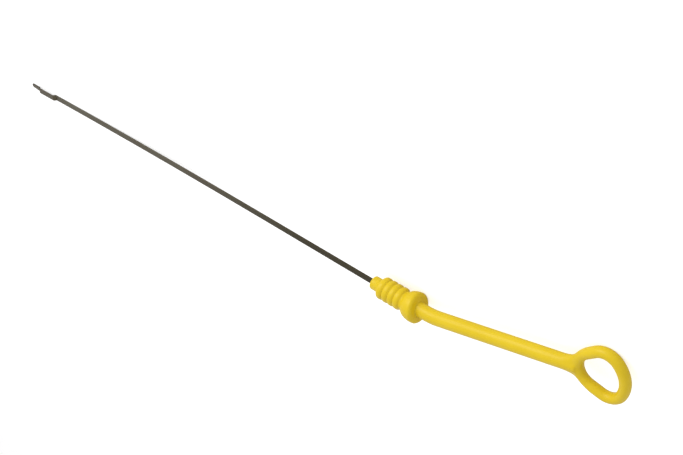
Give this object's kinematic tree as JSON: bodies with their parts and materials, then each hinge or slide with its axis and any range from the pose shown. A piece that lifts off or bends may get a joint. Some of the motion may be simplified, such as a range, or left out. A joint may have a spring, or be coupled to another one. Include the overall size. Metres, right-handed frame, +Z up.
{
  "type": "engine oil dipstick",
  "caption": "Engine oil dipstick: a long flat steel blade with pressed level marks, moulded into a yellow plastic handle with a ribbed sealing plug, stop collar, bent stem and finger loop.",
  "frame": {"origin": "centre of the bounding box at floor level, with the dipstick lying as it comes to rest", "axes": "+X along the dipstick from the blade's end towards the finger loop, +Y to the side that the loop lies on, +Z up"},
  "size_m": [0.536, 0.0584, 0.0194],
  "materials": {
    "spring_steel": "dull, oil-darkened",
    "yellow_plastic": "satin moulded"
  },
  "bodies": {
    "root": {"blade": "spring_steel", "handle": "yellow_plastic"}
  },
  "joints": []
}
